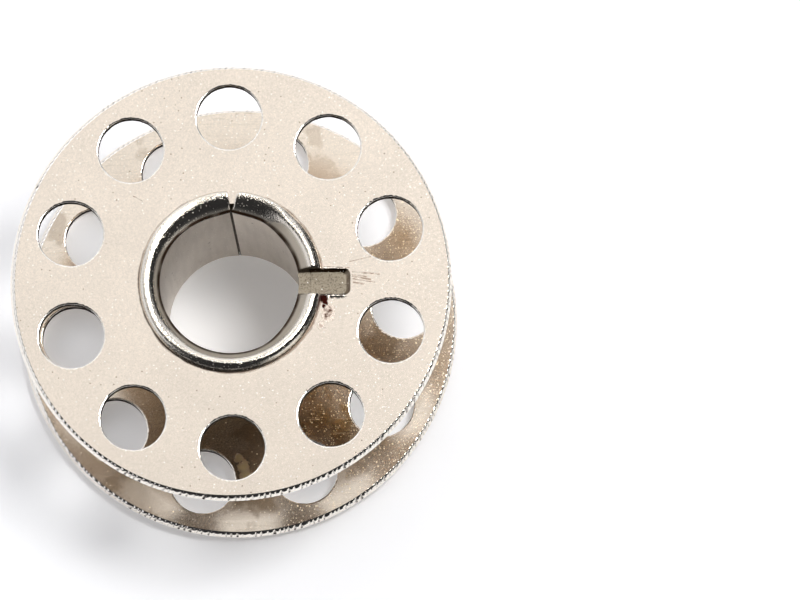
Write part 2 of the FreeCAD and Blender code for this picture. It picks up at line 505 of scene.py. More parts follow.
def groove_film(tree, place):
    """Brown film in the grooves of the knurl, from the mesh."""
    return add(tree, "ShaderNodeAttribute", attribute_name="groove").outputs["Fac"]


def gap_side(tree, place):
    """Rises from 0 at the far left of the gap to 1 at its near right, and falls at the rim except on the left."""
    side = add(
        tree, "ShaderNodeVectorMath", {0: place, 1: (0.6, -0.8, 0.0)}, operation="DOT_PRODUCT"
    ).outputs["Value"]
    near = add(
        tree, "ShaderNodeMapRange", {"Value": side, "From Min": -1.0 * MM, "From Max": 3.0 * MM}
    ).outputs["Result"]
    kept = add(
        tree,
        "ShaderNodeMapRange",
        {"Value": axis_reach(tree, place), "From Min": 8.9 * MM, "From Max": 9.5 * MM, "To Min": 1.0, "To Max": 0.15},
    ).outputs["Result"]
    along = add(tree, "ShaderNodeSeparateXYZ", {"Vector": place}).outputs["X"]
    left = add(
        tree,
        "ShaderNodeMapRange",
        {"Value": along, "From Min": -4.5 * MM, "From Max": -2.5 * MM, "To Min": 1.0, "To Max": 0.0},
    ).outputs["Result"]
    held = either(tree, [kept, left])
    return add(tree, "ShaderNodeMath", {0: near, 1: held}, operation="MULTIPLY").outputs[0]


def gap_film_and_shade(tree, place):
    """Brown oil film in the gap, which is also painted shade there: thick at the near right, thinner at the rim except
    on the left, with two heavy stains and patchy all round.
    """
    clouds = add(tree, "ShaderNodeTexNoise", {"Vector": place, "Scale": grain(2.2), "Detail": 5.0}).outputs["Fac"]
    patches = add(
        tree, "ShaderNodeMapRange", {"Value": clouds, "From Min": 0.54, "From Max": 0.6, "To Min": 0.0, "To Max": 0.32}
    ).outputs["Result"]
    side = gap_side(tree, place)
    thin = add(tree, "ShaderNodeMath", {0: side, 1: 0.48, 2: patches}, operation="MULTIPLY_ADD").outputs[0]
    centres = ((7.6, 4.1, GAP_FLOOR), (3.8, -4.6, GAP_FLOOR))
    stains = either(tree, [spot(tree, place, centre, 1.9, 1.0, core=0.3) for centre in centres])
    return add(tree, "ShaderNodeMath", {0: stains, 1: 0.55, 2: thin}, operation="MULTIPLY_ADD").outputs[0]


def gap_flecks_and_glints(tree, place):
    """Bright flecks of bare metal in the film, painted light and golden to stand for glints."""
    right = add(
        tree, "ShaderNodeVectorMath", {0: place, 1: (1.0, -0.25, 0.0)}, operation="DOT_PRODUCT"
    ).outputs["Value"]
    share = add(
        tree,
        "ShaderNodeMapRange",
        {"Value": right, "From Min": 2.5 * MM, "From Max": 5.5 * MM, "To Min": 0.02, "To Max": 0.5},
    ).outputs["Result"]
    fewer = add(tree, "ShaderNodeMath", {0: share, 1: 0.5}, operation="MULTIPLY").outputs[0]
    return either(tree, [dots(tree, place, 0.21, 0.045, fewer), dots(tree, place, 0.1, 0.026, share)])


def bare_patch(tree, place):
    """A patch at the near side of the gap where the film came off and the metal is dull."""
    spots = ((-0.02, -6.5, 0.34), (0.2, -6.9, 0.42), (0.36, -7.35, 0.46), (0.3, -7.75, 0.4))
    return crust(tree, place, spots, GAP_FLOOR)


def bore_streaks(tree, place):
    """Dull upright streaks that the mandrel drew down the bore, with smears across them."""
    drawn = add(tree, "ShaderNodeMapping", {"Vector": place, "Scale": (1.0, 1.0, 0.12)}).outputs["Vector"]
    streaks = add(tree, "ShaderNodeTexNoise", {"Vector": drawn, "Scale": grain(0.35), "Detail": 4.0}).outputs["Fac"]
    return add(
        tree, "ShaderNodeMapRange", {"Value": streaks, "From Min": 0.42, "From Max": 0.7, "To Min": 0.0, "To Max": 0.35}
    ).outputs["Result"]


def bore_dents(tree, place):
    """Pits and small dents on the bore's wall."""
    return dots(tree, place, 0.7, 0.07, 0.35)


def seam_film(tree, place):
    """Brown film on both edges of the butt seam."""
    return scratch(tree, place, (0.0, 3.0), (0.0, 3.6), 0.12)


def struck_pits(tree, place):
    """Dark pits that the punch left in the bare steel."""
    pits = add(tree, "ShaderNodeTexNoise", {"Vector": place, "Scale": grain(0.06), "Detail": 3.0}).outputs["Fac"]
    return add(
        tree, "ShaderNodeMapRange", {"Value": pits, "From Min": 0.5, "From Max": 0.66, "To Min": 0.0, "To Max": 0.75}
    ).outputs["Result"]


# The marks of bare steel that was struck or cut.
PITTED = (("4A4136", struck_pits, 0.1),)


def lip_stain_and_shadow(tree, place):
    """Brown film and painted shadow on the face along the foot of the lip, where the lip shades the face, patchy round
    the turn.
    """
    reach = axis_reach(tree, place)
    patches = add(tree, "ShaderNodeTexNoise", {"Vector": place, "Scale": grain(0.9), "Detail": 4.0}).outputs["Fac"]
    bent = add(tree, "ShaderNodeMath", {0: patches, 1: -0.22 * MM, 2: reach}, operation="MULTIPLY_ADD").outputs[0]
    inner = add(tree, "ShaderNodeMath", {0: reach, 1: 4.2 * MM}, operation="GREATER_THAN").outputs[0]
    outer = add(
        tree,
        "ShaderNodeMapRange",
        {"Value": bent, "From Min": 4.15 * MM, "From Max": 4.23 * MM, "To Min": 0.85, "To Max": 0.0},
    ).outputs["Result"]
    ring = add(tree, "ShaderNodeMath", {0: inner, 1: outer}, operation="MULTIPLY").outputs[0]
    along = add(tree, "ShaderNodeSeparateXYZ", {"Vector": place}).outputs["Y"]
    below_split = add(tree, "ShaderNodeMath", {0: along, 1: 4.0 * MM}, operation="LESS_THAN").outputs[0]
    return add(tree, "ShaderNodeMath", {0: ring, 1: below_split}, operation="MULTIPLY").outputs[0]


def old_rust(tree, place):
    """Dark rust beside the notch, where the lip meets the face."""
    spots = ((4.32, -0.8, 0.19), (4.38, -0.95, 0.17), (4.3, -1.13, 0.15))
    return either(tree, [spot(tree, place, (x, y, FACE_HEIGHT), radius, 0.35) for x, y, radius in spots])


def young_rust(tree, place):
    """Pale rust bloom below the dark rust."""
    spots = ((4.54, -1.35, 0.4), (4.5, -1.58, 0.44), (4.2, -2.05, 0.26))
    return crust(tree, place, spots, FACE_HEIGHT)


def bright_rolled_nickel(name, colour, roughness):
    """Nickel plate on rolled strip: bright and rippled by the rolling, with brown film and painted shade in its folds
    and rust below.
    """
    material, tree = new_material(name)
    place = add(tree, "ShaderNodeTexCoord").outputs["Object"]
    ripple = add(tree, "ShaderNodeTexNoise", {"Vector": place, "Scale": grain(0.07), "Detail": 3.0}).outputs["Fac"]
    clouds = add(tree, "ShaderNodeTexNoise", {"Vector": place, "Scale": grain(1.2), "Detail": 3.0}).outputs["Fac"]
    surface, stains = colour, {}
    # Grey wear, then brown film with painted shade in the crease and under the lip, then rust.
    for stain, hue in (("scuff", "CDC3B3"), ("tarnish_and_shade", "3C2816"), ("rust", "4A1A12")):
        stains[stain] = add(tree, "ShaderNodeAttribute", attribute_name=stain).outputs["Fac"]
        surface = add(
            tree, "ShaderNodeMix", {"Factor": stains[stain], BELOW: surface, OVER: from_hex(hue)}, data_type="RGBA"
        ).outputs[MIXED]
    worn = add(
        tree,
        "ShaderNodeMath",
        {0: stains["scuff"], 1: 0.55, 2: stains["rust"]},
        operation="MULTIPLY_ADD",
        use_clamp=True,
    ).outputs[0]
    bare = add(tree, "ShaderNodeMath", {0: 1.0, 1: worn}, operation="SUBTRACT").outputs[0]
    rough = add(
        tree,
        "ShaderNodeMapRange",
        {"Value": clouds, "From Min": 0.3, "From Max": 0.7, "To Min": roughness - 0.02, "To Max": roughness + 0.04},
    ).outputs["Result"]
    dulled = add(tree, "ShaderNodeMath", {0: worn, 1: 0.5, 2: rough}, operation="MULTIPLY_ADD").outputs[0]
    points = dots(tree, place, 0.11, 0.034, 0.35)
    pitted = add(tree, "ShaderNodeMath", {0: points, 1: 0.4, 2: dulled}, operation="MULTIPLY_ADD").outputs[0]
    relief = add(
        tree, "ShaderNodeBump", {"Height": ripple, "Strength": 0.4, "Distance": 0.03 * MM}
    ).outputs["Normal"]
    shader = add(
        tree,
        "ShaderNodeBsdfPrincipled",
        {"Base Color": surface, "Metallic": bare, "Roughness": pitted, "Normal": relief},
    ).outputs["BSDF"]
    add(tree, "ShaderNodeOutputMaterial", {"Surface": shader})
    return material


def white_card(name, colour, glow):
    """Matt white card, without gloss, so only the shadow shows. It glows to the eye and in mirrors, not as a lamp."""
    material, tree = new_material(name)
    path = add(tree, "ShaderNodeLightPath").outputs
    seen = either(tree, [path["Is Camera Ray"], path["Is Glossy Ray"], path["Is Transmission Ray"]])
    strength = add(tree, "ShaderNodeMath", {0: seen, 1: glow}, operation="MULTIPLY").outputs[0]
    card = add(tree, "ShaderNodeBsdfDiffuse", {"Color": colour}).outputs["BSDF"]
    white = add(tree, "ShaderNodeEmission", {"Color": colour, "Strength": strength}).outputs["Emission"]
    shader = add(tree, "ShaderNodeAddShader", {0: card, 1: white}).outputs["Shader"]
    add(tree, "ShaderNodeOutputMaterial", {"Surface": shader})
    return material


def ramp(value, start, end):
    """Rises smoothly from 0 at start to 1 at end."""
    share = min(1.0, max(0.0, (value - start) / (end - start)))
    return share * share * (3 - 2 * share)


def ring_noise(turn, scale, height):
    """Noise that closes on itself round a turn."""
    return noise.noise(Vector((math.cos(turn) * scale, math.sin(turn) * scale, height)))


def circle(radius, count, turn=0.0, centre=(0.0, 0.0)):
    """Points of a circle, counter-clockwise from the turn."""
    angles = [turn + math.tau * i / count for i in range(count)]
    return [Vector((centre[0] + radius * math.cos(a), centre[1] + radius * math.sin(a))) for a in angles]


def add_loop(bm, points, height):
    """Vertices at plane points, all at one height."""
    return [bm.verts.new((p.x, p.y, height)) for p in points]


def bridge(bm, first, second, material=0, closed=True, smooth=True):
    """Quads between two rows of one length."""
    count = len(first)
    for i in range(count if closed else count - 1):
        j = (i + 1) % count
        face = bm.faces.new((first[i], first[j], second[j], second[i]))
        face.smooth = smooth
        face.material_index = material


def inside(point, loop):
    """Whether a plane point lies inside a closed loop of vertices."""
    hit = False
    for a, b in zip(loop, loop[1:] + loop[:1]):
        a, b = a.co, b.co
        if (a.y > point.y) != (b.y > point.y) and point.x < (b.x - a.x) * (point.y - a.y) / (b.y - a.y) + a.x:
            hit = not hit
    return hit


def fill_plate(bm, rim, openings, loose=(), material=0):
    """Triangles inside a rim of vertices and outside its openings, through any loose vertices between."""
    verts, edges, owners = [], [], []
    for number, loop in enumerate([rim, *openings]):
        start = len(verts)
        edges += [(start + i, start + (i + 1) % len(loop)) for i in range(len(loop))]
        verts += loop
        owners += [number] * len(loop)
    verts += loose
    owners += [None] * len(loose)
    _, _, faces, origins, _, _ = geometry.delaunay_2d_cdt([v.co.xy for v in verts], edges, [], 0, 1e-6)
    level = rim[0].co.z
    for triangle in faces:
        picked = [origins[i][0] for i in triangle]
        corners = [verts[i] for i in picked]
        owner = owners[picked[0]]
        if owner and all(owners[i] == owner for i in picked):
            if inside(sum((c.co.xy for c in corners), Vector((0.0, 0.0))) / 3, openings[owner - 1]):
                continue
        face = bm.faces.new(corners)
        face.smooth = any(abs(c.co.z - level) > 1e-6 for c in corners)
        face.material_index = material


def finish_mesh(bm, name, node, materials):
    """The built mesh as a piece that stands for a node of the frame."""
    bmesh.ops.recalc_face_normals(bm, faces=bm.faces)
    bm.transform(Matrix.Scale(MM, 4))
    mesh = bpy.data.meshes.new(name)
    bm.to_mesh(mesh)
    bm.free()
    for material in materials:
        mesh.materials.append(material)
    piece = bpy.data.objects.new(name, mesh)
    bpy.context.scene.collection.objects.link(piece)
    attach(piece, "root")
    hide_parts(node)
    return piece


def rim_rows(settings, thickness):
    """Section of the rim from the top face down: inset, depth, share of the tooth's depth and outward slope."""
    bevel, middle = to_mm(settings.rim_bevel), thickness / 2
    upper = [
        (bevel, 0.0, 0.0, 1.4),
        (bevel * 0.82, middle * 0.025, 0.6, 1.35),
        (bevel * 0.64, middle * 0.09, 1.0, 1.15),
        (bevel * 0.49, middle * 0.2, 1.0, 0.95),
        (bevel * 0.35, middle * 0.36, 1.0, 0.75),
        (bevel * 0.22, middle * 0.56, 1.0, 0.55),
        (bevel * 0.1, middle * 0.77, 0.85, 0.4),
        (bevel * 0.02, middle * 0.93, 0.45, 0.2),
        (0.0, middle, 0.25, 0.0),
    ]
    lower = [(i, thickness - d, s, -a) for i, d, s, a in reversed(upper[:-1])]
    return upper + lower


def add_rim(bm, settings, radius, top, thickness):
    """The knurled rim, uneven in depth and pitch and most worn at -X. Returns the rows that bound the faces."""
    teeth, samples = settings.tooth_count, 6
    depth, lean = to_mm(settings.tooth_depth), settings.tooth_lean
    groove = bm.verts.layers.float.new("groove")
    rows = []
    for inset, fall, share, slope in rim_rows(settings, thickness):
        shift = lean * (fall / thickness) * 2
        row = []
        for i in range(teeth * samples):
            turn = math.tau * i / (teeth * samples)
            kept = max(0.1, 0.8 + 0.45 * ring_noise(turn, 14, top) + 0.5 * ring_noise(turn, 47, top + fall * 2))
            kept *= 1 - 0.45 * ramp(-math.cos(turn), 0.3, 0.9)
            slip = 0.6 * ring_noise(turn, 20, top + 5)
            tooth = (1 - abs(math.sin(math.pi * (i / samples + shift + slip)))) * share * kept
            blunt = 0.65 + 0.35 * max(0.0, -math.sin(turn), -math.cos(turn))
            r = radius - inset * blunt - depth * tooth * math.cos(slope)
            height = top - fall - depth * tooth * math.sin(slope)
            vert = bm.verts.new((r * math.cos(turn), r * math.sin(turn), height))
            vert[groove] = 0.8 * ramp(tooth, 0.3, 0.9)
            row.append(vert)
        rows.append(row)
    for first, second in zip(rows, rows[1:]):
        bridge(bm, first, second, material=RIM)
    return rows[0], rows[-1]


def add_hole(bm, settings, centre, top, thickness):
    """One pierced hole: a rolled upper edge, a torn wall, and a smaller roll below. Returns its end rows."""
    radius, roll = to_mm(settings.hole_diameter) / 2, to_mm(settings.edge_roll)
    steps = [math.radians(a) for a in (0, 25, 55, 90)]
    section = [(roll * (1 - math.sin(a)), roll * 0.45 * (1 - math.cos(a))) for a in steps]
    section += [(out * 0.5, thickness - fall * 0.5) for out, fall in reversed(section)]
    rows = []
    for out, fall in section:
        row = []
        for p in circle(radius + out, HOLE_COLUMNS, 0.0, centre):
            wave = 0.012 * noise.noise(Vector((p.x * 4.0, p.y * 4.0, fall * 5.0)))
            wave += out * 0.8 * noise.noise(Vector((p.x * 16.0, p.y * 16.0, fall)))
            row.append(bm.verts.new((*(p + (p - Vector(centre)).normalized() * wave), top - fall)))
        rows.append(row)
    # The torn wall is painted dark, partly as shade.
    for i, (first, second) in enumerate(zip(rows, rows[1:])):
        bridge(bm, first, second, material=WALL if i == len(steps) - 1 else RIM)
    return rows[0], rows[-1]


def notch_outline(settings, grow):
    """Plan of the notch from its mouth round the closed end and back, grown outward by grow."""
    half = to_mm(settings.notch_width) / 2 + grow
    past = grow / to_mm(settings.notch_slope) - 1
    reach = to_mm(settings.notch_reach) + to_mm(settings.notch_runout) * min(0.0, past) + max(0.0, past) * 0.1
    corner = to_mm(settings.notch_corner) + grow * 0.5
    mouth = math.sqrt((to_mm(settings.eye_diameter) / 2) ** 2 - half**2)
    side = [mouth + (reach - corner - mouth) * i / 36 for i in range(36)]
    bend = [math.radians(90 * i / 8) for i in range(9)]
    points = [Vector((x, half)) for x in side]
    points += [Vector((reach - corner * (1 - math.sin(a)), half - corner * (1 - math.cos(a)))) for a in bend]
    across = [half - corner - (half - corner) * i / 5 for i in range(1, 6)]
    points += [Vector((reach, y)) for y in across]
    return points + [Vector((p.x, -p.y)) for p in reversed(points[:-1])]


def burr(settings, point, away):
    """Height of the metal that the punch raised, at a distance away from the notch's edge."""
    if point.x < BURR_START:
        return 0.0
    lump = 0.55 + 1.1 * noise.noise(Vector((point.x * 8.0, point.y * 3.1, 4.0)))
    lump *= 1 - ramp(point.x, to_mm(settings.notch_reach) - 0.5, to_mm(settings.notch_reach) - 0.1)
    return to_mm(settings.burr_height) * max(0.0, lump) * math.exp(-((away / 0.06) ** 2))


def add_notch(bm, settings, top):
    """The struck notch: its wall and floor, its edge in the face, and the loose vertices of the burr."""
    depth, slope = to_mm(settings.notch_depth), to_mm(settings.notch_slope)
    rows = []
    for share, deep in ((1.0, 0.0), (0.96, 0.05), (0.8, 0.2), (0.0, 1.0)):
        fall = depth * deep
        row = []
        for p in notch_outline(settings, slope * share):
            wave = 0.018 * share * noise.noise(Vector((p.x * 6.0, p.y * 6.0, 1.0)))
            rise = burr(settings, p, 0.0) if fall == 0 else 0.0
            row.append(bm.verts.new((p.x, p.y + math.copysign(wave, p.y) * (p.x > BURR_START), top - fall + rise)))
        rows.append(row)
    count = len(rows[0])
    upper, lower = count * 2 // 5, count * 3 // 5
    for first, second in zip(rows, rows[1:]):
        # The upper wall, which faces the eye, takes the dark torn wall as painted shade; the lower wall is plain struck
        # steel.
        bridge(bm, first[: upper + 1], second[: upper + 1], material=WALL, closed=False)
        bridge(bm, first[upper : lower + 1], second[upper : lower + 1], material=FACE, closed=False, smooth=False)
        bridge(bm, first[lower:], second[lower:], material=NOTCH, closed=False)
    loose = []
    for away in (0.03, 0.07, 0.12, 0.2):
        for p in notch_outline(settings, slope + away):
            if p.x > BURR_START - 0.05:
                loose.append(bm.verts.new((p.x, p.y, top + burr(settings, p, away))))
    return rows[0], rows[-1], loose


def open_notch(bm, settings, eye, low, high):
    """The notch, with the eye that it breaks into. Returns the opening's top and bottom loop and the burr."""
    edge, floor_edge, loose = add_notch(bm, settings, high)
    start = math.atan2(edge[0].co.y, edge[0].co.x)
    turns = [start + (math.tau - 2 * start) * i / EYE_COLUMNS for i in range(1, EYE_COLUMNS)]
    eye_top = [bm.verts.new((eye * math.cos(a), eye * math.sin(a), high)) for a in turns]
    wall_top = [edge[0], *eye_top, edge[-1]]
    wall_low = [bm.verts.new((v.co.x, v.co.y, low)) for v in wall_top]
    bridge(bm, wall_top, wall_low, closed=False)
    start = math.atan2(floor_edge[0].co.y, floor_edge[0].co.x)
    turns = [start - 2 * start * i / 12 for i in range(1, 12)]
    mouth = [bm.verts.new((eye * math.cos(a), eye * math.sin(a), floor_edge[0].co.z)) for a in turns]
    mouth_top = [edge[0], floor_edge[0], *mouth, floor_edge[-1], edge[-1]]
    between = [bm.verts.new((v.co.x, v.co.y, low)) for v in mouth_top[1:-1]]
    bridge(bm, mouth_top, [wall_low[0], *between, wall_low[-1]], closed=False)
    fill_plate(bm, list(reversed(floor_edge)) + mouth, [], material=NOTCH)
    return list(reversed(edge)) + eye_top, wall_low + list(reversed(between)), loose


def build_flange(settings, node, turn, notched, materials):
    """One flange: its rim, holes and eye, filled between, with the notch if it has one."""
    low, high = (to_mm(corner.z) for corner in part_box(node))
    radius = min(to_mm(abs(value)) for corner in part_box(node) for value in corner.xy)
    thickness, eye = high - low, to_mm(settings.eye_diameter) / 2
    bm = bmesh.new()
    rim_top, rim_bottom = add_rim(bm, settings, radius, high, thickness)
    centres = circle(to_mm(settings.hole_circle) / 2, settings.hole_count, turn)
    holes = [add_hole(bm, settings, c, high, thickness) for c in centres]
    if notched:
        eye_top, eye_low, loose = open_notch(bm, settings, eye, low, high)
    else:
        eye_top, eye_low = (add_loop(bm, circle(eye, EYE_COLUMNS), height) for height in (high, low))
        loose = []
        bridge(bm, eye_top, eye_low)
    top_material, low_material = (FACE, INNER) if notched else (INNER, FACE)
    fill_plate(bm, rim_top, [eye_top] + [h[0] for h in holes], loose, top_material)
    fill_plate(bm, rim_bottom, [eye_low] + [h[1] for h in holes], material=low_material)
    return finish_mesh(bm, "dressed_" + node, node, materials)


def arc(centre, radius, start, end, steps):
    """Points of a circular arc in the section, without its first point."""
    angles = [start + (end - start) * i / steps for i in range(1, steps + 1)]
    return [(centre[0] + radius * math.cos(a), centre[1] + radius * math.sin(a)) for a in angles]


# The brown film in a mouth's crease runs this far down the bore, in millimetres.
FILM_DEPTH = 0.1


def lip_section(settings, top, face, floor, shoulder, opened):
    """Half of the strip's section as (radius, height), up the bore, over the lip and down the hub.

    Most of a lip is a cone with a rounded crest. Where the split let it open, it is one wide round.
    """
    bore, neck = to_mm(settings.bore_diameter) / 2, to_mm(settings.neck_diameter) / 2
    hub, lip = to_mm(settings.hub_diameter) / 2, to_mm(settings.lip_diameter) / 2
    flare, middle = settings.flare, top / 2
    if opened:
        crest, centre = to_mm(settings.open_round), to_mm(settings.open_crest) / 2
        lean = math.acos((centre - bore) / crest)
        crease = top - crest + crest * math.sin(lean)
        mouth = arc((centre, top - crest), crest, math.pi - lean, math.pi / 2, 14)
    else:
        crest, depth = to_mm(settings.crest_round), to_mm(settings.mouth_depth)
        centre = bore + (crest + math.sin(flare) * (depth - crest)) / math.cos(flare)
        crease = top - depth
        tip = (centre - crest * math.cos(flare), top - crest + crest * math.sin(flare))
        shares = (0.06, 0.3, 0.55, 0.8, 1.0)
        mouth = [(bore + (tip[0] - bore) * s, crease + (tip[1] - crease) * s) for s in shares]
        mouth += arc((centre, top - crest), crest, math.pi - flare, math.pi / 2, 9)
    roll = lip - centre
    half = [(bore, middle + (floor - middle) * i / 9) for i in range(10)]
    half += [(bore, floor + (crease - FILM_DEPTH - floor) * i / 2) for i in (1, 2)]
    half += [(bore, crease - 0.03), (bore, crease)]
    half += mouth + arc((centre, top - roll), roll, math.pi / 2, 0.0, 10)
    half += [(lip, face + 0.05), (lip - 0.006, face + 0.015), (lip - 0.03, face)]
    half += [(neck + 0.2, face), (neck, face), (neck, floor), (neck, shoulder)]
    half += [(hub - 0.03, shoulder), (hub - 0.006, shoulder - 0.006), (hub, shoulder - 0.03)]
    return half + [(hub, shoulder - 0.03 - (shoulder - 0.03 - middle) * i / 8) for i in range(1, 9)]


def section_normals(section):
    """Outward unit normals of the closed section, which runs clockwise in radius and height."""
    normals = []
    for (r0, z0), (r1, z1) in zip(section[-1:] + section[:-1], section[1:] + section[:1]):
        along = Vector((r1 - r0, z1 - z0)).normalized()
        normals.append(Vector((-along.y, along.x)))
    return normals


def opening(turn):
    """How far the lip is opened, from 0 to 1: wide on both sides of the seam at 90 degrees and on round the left."""
    degrees = math.degrees(turn) % 360
    return ramp(degrees, 45, 62) * (1 - 0.5 * ramp(degrees, 142, 165)) * (1 - ramp(degrees, 215, 250))


def pinch(settings, turn):
    """How far the bore's wall stands inside its circle: the strip's straight ends meet in a point at the seam, and
    the punch that struck the notch pressed the side below it inward."""
    bore, straight = to_mm(settings.bore_diameter) / 2, settings.straight_end
    away = abs(turn % math.tau - math.pi / 2)
    pressed = to_mm(settings.notch_press) * ramp(math.cos(turn), 0.4, 0.95)
    if away < straight:
        return pressed + bore * (1 - math.cos(straight) / math.cos(straight - away))
    return pressed + bore * (1 - math.cos(straight)) * (1 - ramp(math.degrees(away), math.degrees(straight), 80))


def tarnish_and_shade(settings, turn, r, z, face):
    """Brown film and painted shade in the crease and under the lip at its foot, from 0 to 1."""
    bore, lip = to_mm(settings.bore_diameter) / 2, to_mm(settings.lip_diameter) / 2
    patchy = 0.5 + ring_noise(turn, 7, z * 3)
    foot = (1 - ramp(z, face + 0.06, face + 0.18)) * ramp(r, lip - 0.1, lip - 0.02) * ramp(z, face - 0.1, face)
    crease = (1 - ramp(r, bore + 0.08, bore + 0.15)) * ramp(z, face - 0.32, face - 0.2)
    return min(1.0, foot + crease * (0.75 + 0.5 * patchy))


def scuff(settings, turn, r, z, face):
    """Grey wear inside the mouth, in a narrower and fainter band by the split, from 0 to 1."""
    opened = opening(turn)
    edge = to_mm(settings.bore_diameter) / 2 + 0.28 - 0.2 * opened
    return (1 - ramp(r, edge, edge + 0.14)) * ramp(z, face - 0.3, face - 0.15) * (1 - 0.4 * opened)


def rust(settings, turn, r, z, face):
    """Rust that crept along the lip's foot from the notch, from 0 to 1."""
    degrees = (math.degrees(turn) + 180) % 360 - 180
    ragged = 0.35 * ring_noise(turn, 12, z * 6)
    along = ramp(-degrees, 7.5, 9.5) * (1 - 0.6 * ramp(-degrees, 17, 30)) * (1 - ramp(-degrees, 42, 55))
    height = face + 0.32 - 0.2 * ramp(-degrees, 14, 26)
    return along * ramp(r, 3.9, 4.1) * (1 - ramp(z + ragged * 0.4, height - 0.08, height + 0.08))


def build_core(settings, flange, materials):
    """The rolled core: columns round the axis from the seam past the notch, with both cut through the lip."""
    low, high = (to_mm(corner.z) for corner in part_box("core_tube"))
    face, shoulder = to_mm(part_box("upper_flange")[1].z), to_mm(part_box("upper_flange")[0].z)
    floor = face - to_mm(flange.notch_depth)
    halves = [lip_section(settings, high - low, face, floor, shoulder, opened) for opened in (False, True)]
    sections = [half + [(r, high - z) for r, z in reversed(half[1:-1])] for half in halves]
    normals = [section_normals(section) for section in sections]
    plain = sections[0]
    half_notch, slope = to_mm(flange.notch_width) / 2, to_mm(flange.notch_slope)
    gap, bore = to_mm(settings.seam_gap) / 2, to_mm(settings.bore_diameter) / 2
    over_floor = [z > floor + 1e-6 for _, z in plain]
    film_end = high - to_mm(settings.mouth_depth) - FILM_DEPTH + 1e-6

    def notch_turn(r, z):
        """Half the turn that the notch takes out."""
        return math.asin((half_notch + slope * ramp(z, floor, face)) / r)

    def seam_turn(r, z, spread):
        """Turn from the seam's middle to one cut end of the strip, which spreads past the flange's face."""
        past_face = ramp(max(z, high - z), face - 0.25, face)
        return math.asin((gap + max(0.0, r - bore + 0.02) * math.tan(spread) * past_face) / r)

    def spans(r, z):
        """First and last turn of the right side, of the left side, and of the floor of the notch between them."""
        edge = notch_turn(r, z)
        right, left = seam_turn(r, z, settings.seam_right), seam_turn(r, z, settings.seam_left)
        return (
            (edge, math.pi / 2 - right),
            (math.pi / 2 + left, math.tau - edge),
            (math.tau - edge, math.tau + edge),
        )

    def edge_steps(count):
        """Shares of a side, closer together at its cut ends."""
        fine = (0.0, 0.02 / count, 0.1 / count, 0.4 / count)
        return list(fine) + [i / count for i in range(1, count)] + [1 - s for s in reversed(fine)]

    across = [i / NOTCH_COLUMNS for i in range(NOTCH_COLUMNS + 1)]
    steps = (edge_steps(settings.columns // 4), edge_steps(settings.columns * 3 // 4), across)
    bm = bmesh.new()
    stains = [(bm.verts.layers.float.new(draw.__name__), draw) for draw in (tarnish_and_shade, scuff, rust)]

    def place(i, part, share):
        """The vertex of one point of the section, at a share of the way along one side."""
        start, end = spans(*plain[i])[part]
        turn = start + (end - start) * share
        opened = opening(turn)
        r, z = (a + (b - a) * opened for a, b in zip(sections[0][i], sections[1][i]))
        normal = normals[0][i].lerp(normals[1][i], opened)
        from_edge = min(share, 1 - share) * (end - start) * r
        dent = 0.006 * ring_noise(turn, r * 1.7, z * 1.7)
        dull = -0.018 * math.exp(-((from_edge / 0.02) ** 2)) if part < 2 else 0.0
        push = dent + dull if z > face + 0.06 or r < bore + 0.1 else 0.0
        r, z = r + normal.x * push, min(max(z + normal.y * push, low), high)
        inner = r - pinch(settings, turn) * (1 - ramp(r, bore + 0.05, bore + 0.4)) * ramp(z, low + 3, face - 0.5)
        vert = bm.verts.new((inner * math.cos(turn), inner * math.sin(turn), z))
        for layer, draw in stains:
            vert[layer] = draw(settings, turn, r, z, face)
        return vert

    count = len(plain)
    right, left = ([[place(i, part, s) for s in steps[part]] for i in range(count)] for part in (0, 1))
    under = []
    for i in range(count):
        between = [] if over_floor[i] else [place(i, 2, s) for s in steps[2][1:-1]]
        under.append([left[i][-1], *between, right[i][0]] if between else None)
    for grid in (right, left, under):
        for i in range(count):
            j = (i + 1) % count
            if grid[i] and grid[j]:
                deep = max(max(z, high - z) for _, z in (plain[i], plain[j])) < film_end
                in_bore = deep and max(plain[i][0], plain[j][0]) < bore + 1e-6
                bridge(bm, grid[i], grid[j], material=BORE if in_bore else NICKEL, closed=False)
    first = next(i for i in range(count) if not over_floor[i] and over_floor[(i + 1) % count])
    last = next(i for i in range(count) if not over_floor[i] and over_floor[i - 1])
    bridge(bm, under[first], under[last], material=CUT, closed=False, smooth=False)
    for grid, column in ((right, 0), (left, -1)):
        add_end(bm, plain, range(first, last + 1), grid, column)
    for grid, column in ((right, -1), (left, 0)):
        add_end(bm, plain, range(count), grid, column)
    return finish_mesh(bm, "dressed_core_tube", "core_tube", materials)


def add_end(bm, section, rows, grid, column):
    """Closes the strip at a cut column with triangles across the section's rows."""
    outline = [Vector((section[i][0], section[i][1], 0.0)) for i in rows]
    for triangle in geometry.tessellate_polygon([outline]):
        face = bm.faces.new([grid[rows[i]][column] for i in triangle])
        face.material_index = CUT


# Each soft box: name, centre in metres, width and height in metres, radiance, colour. All face the bobbin.
LAMPS = (
    ("softbox_key", (0.195, 0.07, 0.62), (0.18, 0.18), 23.0, "FFFFFF"),
    ("softbox_overhead", (-0.10, 0.30, 0.60), (0.54, 0.52), 1.03, "FFFFFF"),
    ("card_left", (-0.80, 0.10, 0.46), (1.50, 0.88), 1.0, "F6F8FF"),
    ("card_back", (0.00, 0.90, 0.46), (1.50, 0.88), 1.0, "F6F8FF"),
    ("card_near_right", (0.55, -0.55, 0.20), (0.44, 0.36), 1.1, "FFFFFF"),
    ("card_far_right", (0.36, 0.36, 0.54), (0.40, 0.34), 0.55, "F6F8FF"),
)
LAMP_TARGET = Vector((0.0, 0.0, 0.006))
WORLD_COLOUR, WORLD_STRENGTH = "E4E6EE", 0.04


